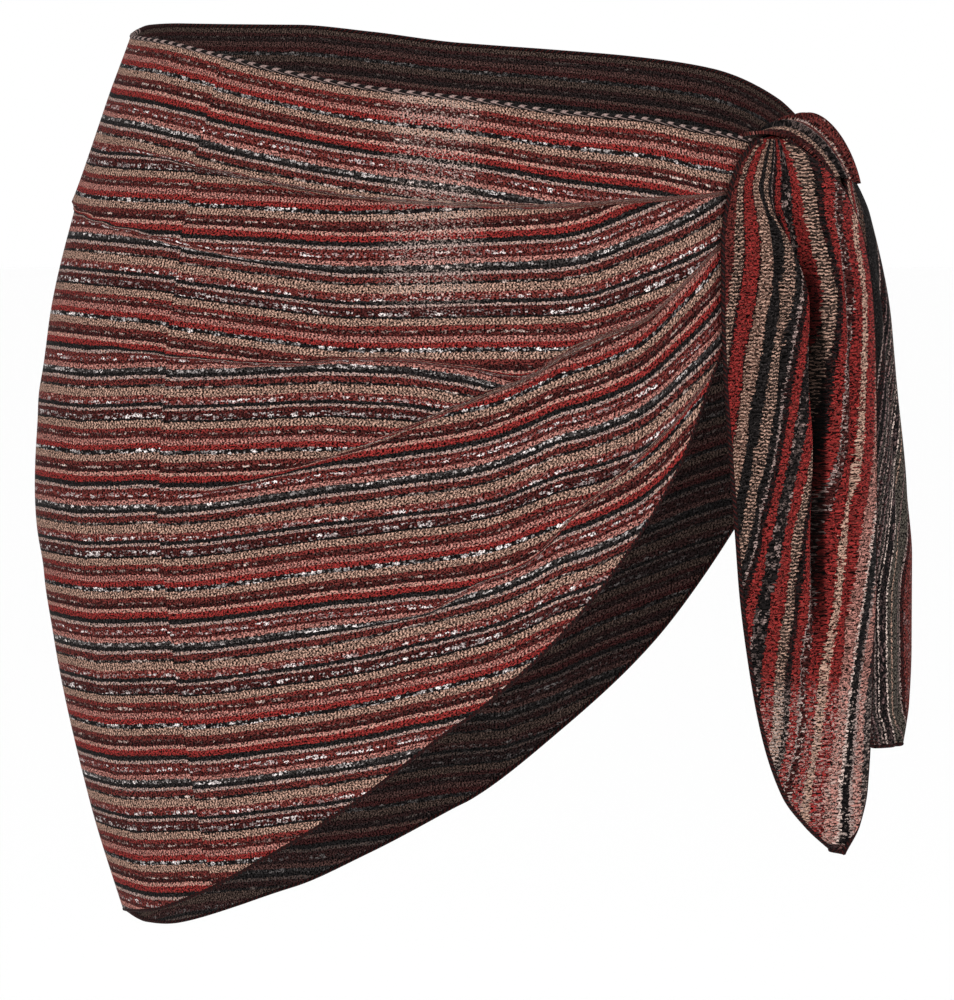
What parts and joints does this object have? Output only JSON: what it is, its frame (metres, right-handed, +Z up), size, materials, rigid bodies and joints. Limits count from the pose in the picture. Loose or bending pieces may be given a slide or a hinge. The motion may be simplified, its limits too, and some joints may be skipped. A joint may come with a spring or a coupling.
{
  "type": "sarong wrap skirt",
  "caption": "Short knitted sarong in its worn, hollow shape, wrapped round the hips and tied in a side knot with hanging pointed tails.",
  "frame": {"origin": "middle of the waist opening, where the wearer's hips hold the skirt", "axes": "+Z up the wearer's body, the wearer faces -Y, the knot is at +X on the wearer's left hip"},
  "size_m": [0.3857, 0.2419, 0.4029],
  "materials": {
    "wrap_cloth": "matt open knit, lengthwise stripes in maroon, red, tan, white and black"
  },
  "bodies": {
    "root": {"front_panel": "wrap_cloth", "back_panel": "wrap_cloth", "knot_core": "wrap_cloth", "knot_band": "wrap_cloth", "front_tail": "wrap_cloth", "rear_tail": "wrap_cloth"}
  },
  "joints": []
}
